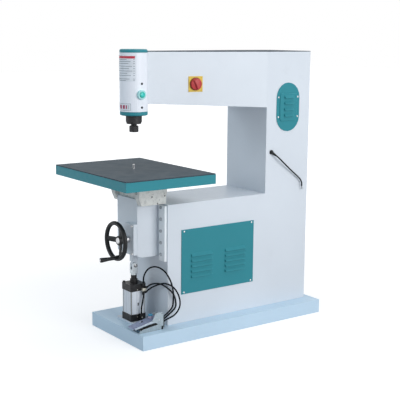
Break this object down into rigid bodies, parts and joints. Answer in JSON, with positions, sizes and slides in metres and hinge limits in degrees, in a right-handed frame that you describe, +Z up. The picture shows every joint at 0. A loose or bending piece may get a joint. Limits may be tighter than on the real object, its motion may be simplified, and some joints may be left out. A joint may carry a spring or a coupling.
{
  "type": "vertical milling machine",
  "caption": "Overarm vertical milling machine with a belt-driven collet spindle, a square table on a foot-operated pneumatic knee and a crank-handled height wheel.",
  "frame": {"origin": "middle of the base's footprint, on the floor", "axes": "+Z up; +Y from the operator towards the column; +X to the operator's right, the side of the louvred covers, switch and start button"},
  "size_m": [0.697, 1.3124, 1.454],
  "materials": {
    "body_paint": "satin pale grey-blue paint",
    "base_paint": "satin pale blue paint",
    "teal_paint": "satin teal paint",
    "support_paint": "matt warm grey paint",
    "dark_laminate": "matt dark grey laminate",
    "black_steel": "blackened steel",
    "black_plastic": "satin black plastic",
    "bright_steel": "ground steel",
    "galvanised": "dull zinc plate",
    "anodised": "clear anodised",
    "cast_iron": "turned cast iron",
    "motor_paint": "dark blue paint",
    "brass": "machined",
    "belt_rubber": "fabric-backed rubber",
    "hose_black": "smooth black",
    "yellow_plastic": "gloss",
    "red_plastic": "gloss",
    "white_plastic": "gloss",
    "green_plastic": "gloss",
    "device_grey": "grey powder coat"
  },
  "bodies": {
    "machine_frame": {"base_plinth": "base_paint", "frame_shell": "body_paint", "arm_top_cover": "dark_laminate", "lower_side_cover": "teal_paint", "oval_motor_cover": "teal_paint", "head_housing": "body_paint", "head_top_cap": "teal_paint", "head_bottom_ring": "teal_paint", "bearing_nose": "black_steel", "lower_bearing": "bright_steel", "upper_bearing": "bright_steel", "drive_belt": "belt_rubber", "motor_body": "motor_paint", "motor_mount": "cast_iron", "switch_plate": "yellow_plastic", "button_collar": "white_plastic", "right_keeper": "body_paint", "left_keeper": "body_paint", "cylinder_mounting_plate": "body_paint", "cylinder_bottom_cap": "black_steel", "cylinder_top_cap": "black_steel", "cylinder_barrel": "anodised", "cylinder_upper_fitting": "galvanised", "cylinder_lower_fitting": "galvanised", "hose_long_loop": "hose_black", "hose_middle_loop": "hose_black", "hose_inner_loop": "hose_black", "hose_cylinder_link": "hose_black", "pedal_base": "galvanised", "pedal_valve": "black_plastic", "lead_gland": "black_plastic", "mains_lead": "hose_black", "electrical_panel": "device_grey"},
    "spindle": {"spindle_shaft": "bright_steel", "spindle_pulley": "cast_iron", "collet": "bright_steel", "collet_nut": "black_steel"},
    "motor_rotor": {"motor_shaft": "bright_steel", "motor_pulley": "cast_iron"},
    "switch_rotor": {"switch_knob": "red_plastic"},
    "button": {"start_button": "green_plastic"},
    "knee": {"knee_casting": "body_paint", "worm_bush": "bright_steel", "rod_clevis": "galvanised", "piston_rod": "bright_steel", "piston": "anodised", "clevis_pin": "bright_steel"},
    "handwheel_group": {"handwheel": "black_plastic", "handwheel_hub": "bright_steel", "worm_shaft": "bright_steel"},
    "crank": {"crank_handle": "black_plastic"},
    "screw": {"lift_screw": "bright_steel", "worm_wheel": "brass"},
    "table": {"table_support": "support_paint", "lift_nut": "brass", "table_frame": "teal_paint", "table_top": "dark_laminate", "guide_pin": "black_steel"},
    "foot_treadle": {"treadle": "galvanised", "pedal_pin": "bright_steel"}
  },
  "joints": [
    {"name": "motor_spin", "type": "hinge", "parent": "machine_frame", "child": "motor_rotor", "pos_m": [0, 0.387, 1.24], "axis": [0, 0, 1], "continuous": true},
    {"name": "spindle_spin", "type": "hinge", "parent": "machine_frame", "child": "spindle", "pos_m": [0, -0.473, 1.15], "axis": [0, 0, 1], "continuous": true},
    {"name": "switch_turn", "type": "hinge", "parent": "machine_frame", "child": "switch_rotor", "pos_m": [0.09323, -0.166, 1.281], "axis": [0.9831, -0.1828, 0], "range_deg": [0, 90]},
    {"name": "button_press", "type": "slide", "parent": "machine_frame", "child": "button", "axis": [-1, 0, 0], "range_m": [0, 0.004], "stiffness_N_per_m": 400},
    {"name": "knee_lift", "type": "slide", "parent": "machine_frame", "child": "knee", "axis": [0, 0, 1], "range_m": [0, 0.08]},
    {"name": "handwheel_turn", "type": "hinge", "parent": "knee", "child": "handwheel_group", "pos_m": [0.05, -0.611, 0.5185], "axis": [0, 1, 0], "range_deg": [0, 7201]},
    {"name": "screw_turn", "type": "hinge", "parent": "knee", "child": "screw", "pos_m": [0, -0.455, 0.5], "axis": [0, 0, 1], "range_deg": [-1441, 0]},
    {"name": "table_adjust", "type": "slide", "parent": "knee", "child": "table", "axis": [0, 0, 1], "range_m": [0, 0.04]},
    {"name": "crank_handle_spin", "type": "hinge", "parent": "handwheel_group", "child": "crank", "pos_m": [0.0722, -0.611, 0.4385], "axis": [0, 1, 0], "continuous": true},
    {"name": "treadle_press", "type": "hinge", "parent": "machine_frame", "child": "foot_treadle", "pos_m": [0.17, -0.458, 0.126], "axis": [1, 0, 0], "range_deg": [0, 7], "stiffness_Nm_per_rad": 30}
  ],
  "couplings": [
    {"joint": "spindle_spin", "follows": "motor_spin", "ratio": 5},
    {"joint": "screw_turn", "follows": "table_adjust", "rad_per_m": -628.32},
    {"joint": "handwheel_turn", "follows": "table_adjust", "rad_per_m": 3141.6}
  ]
}
